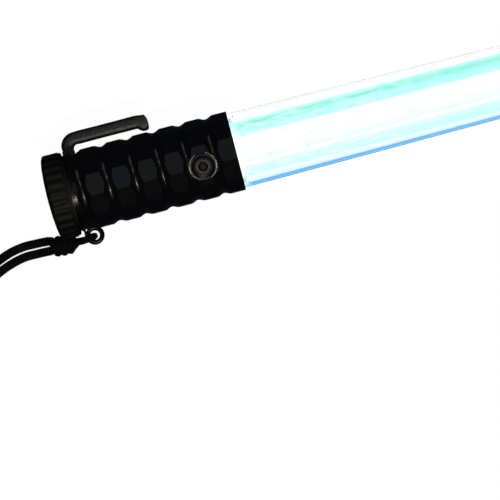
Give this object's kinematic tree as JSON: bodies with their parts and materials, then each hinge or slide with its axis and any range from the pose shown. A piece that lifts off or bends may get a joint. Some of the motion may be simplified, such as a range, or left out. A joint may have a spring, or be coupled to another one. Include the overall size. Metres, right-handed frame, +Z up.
{
  "type": "traffic baton light",
  "caption": "Hand-held battery traffic baton with a faceted notched grip, screwed tail cap, spring belt clip, push button, wrist strap and lit clear tapered tube.",
  "frame": {"origin": "on the surface that the baton lies on, under the middle of the baton's box without its wrist strap", "axes": "+X along the baton from the tail cap to the tube's tip, +Y to the side with the belt clip, +Z up, away from the surface; the button points up and 15 degrees towards -Y"},
  "size_m": [0.5235, 0.1109, 0.0459],
  "materials": {
    "black_gloss": "glossy moulded black",
    "black_satin": "satin moulded black",
    "rubber": "matt black",
    "bright_steel": "bright steel",
    "dark_steel": "gunmetal coating, fine grain",
    "chrome": "dished and polished",
    "brass": "plated contact",
    "cell_wrap": "printed-free wrapped cell",
    "board": "solder mask",
    "white_board": "white solder mask",
    "dark_parts": "moulded electronic parts",
    "white_plastic": "white moulded plastic",
    "led": "lit light-emitting diodes",
    "clear_tube": "clear polycarbonate",
    "milky_sleeve": "translucent milky, lit from inside",
    "wire": "insulated wire",
    "woven_cord": "braided black cord"
  },
  "bodies": {
    "root": {"grip_shell": "black_gloss", "tail_bushing": "black_satin", "cap_gasket": "rubber", "clip_collar": "bright_steel", "clip_pin": "dark_steel", "clip_spring": "bright_steel", "lanyard_eye": "dark_steel", "carrier_frame": "black_satin", "battery_cells": "cell_wrap", "carrier_springs": "bright_steel", "carrier_contacts": "bright_steel", "end_contact": "brass", "driver_board": "board", "board_parts": "dark_parts", "contact_finger": "brass", "switch_body": "dark_parts", "button_spring": "bright_steel", "button_bezel": "chrome", "bezel_seal": "rubber", "bezel_nut": "bright_steel", "lamp_base": "white_plastic", "base_leds": "led", "tube_seal": "rubber", "light_tube": "clear_tube", "sleeve": "milky_sleeve", "sleeve_end": "milky_sleeve", "led_strip": "white_board", "strip_leds": "led", "strip_holder": "white_plastic", "lead_wires": "wire", "strap_link": "woven_cord", "strap_knot": "woven_cord", "wrist_cord": "woven_cord"},
    "cap_liner": {"cap_o_ring": "rubber"},
    "tail_cap": {"tail_cap": "black_gloss", "cap_thread": "black_gloss", "cap_contact": "brass", "battery_spring": "bright_steel"},
    "belt_clip": {"belt_clip": "dark_steel"},
    "button": {"button_cap": "black_gloss", "switch_plunger": "white_plastic"}
  },
  "joints": [
    {"name": "tail_cap_travel", "type": "slide", "parent": "root", "child": "cap_liner", "axis": [-1, 0, 0], "range_m": [0, 0.0076]},
    {"name": "tail_cap_turn", "type": "hinge", "parent": "cap_liner", "child": "tail_cap", "pos_m": [-0.194, -0.00155, 0.02285], "axis": [-1, 0, 0], "range_deg": [0, 900]},
    {"name": "clip_flex", "type": "hinge", "parent": "root", "child": "belt_clip", "pos_m": [-0.183, 0.01965, 0.02285], "axis": [0, 0, 1], "range_deg": [0, 8], "stiffness_Nm_per_rad": 1.2, "springref_deg": -5.73},
    {"name": "button_press", "type": "slide", "parent": "root", "child": "button", "axis": [0, 0.2588, -0.9659], "range_m": [0, 0.001], "stiffness_N_per_m": 2000, "springref_m": -0.0003, "deforming": ["button_spring"]}
  ],
  "couplings": [
    {"joint": "tail_cap_travel", "follows": "tail_cap_turn", "m_per_rad": 0.00047746}
  ]
}
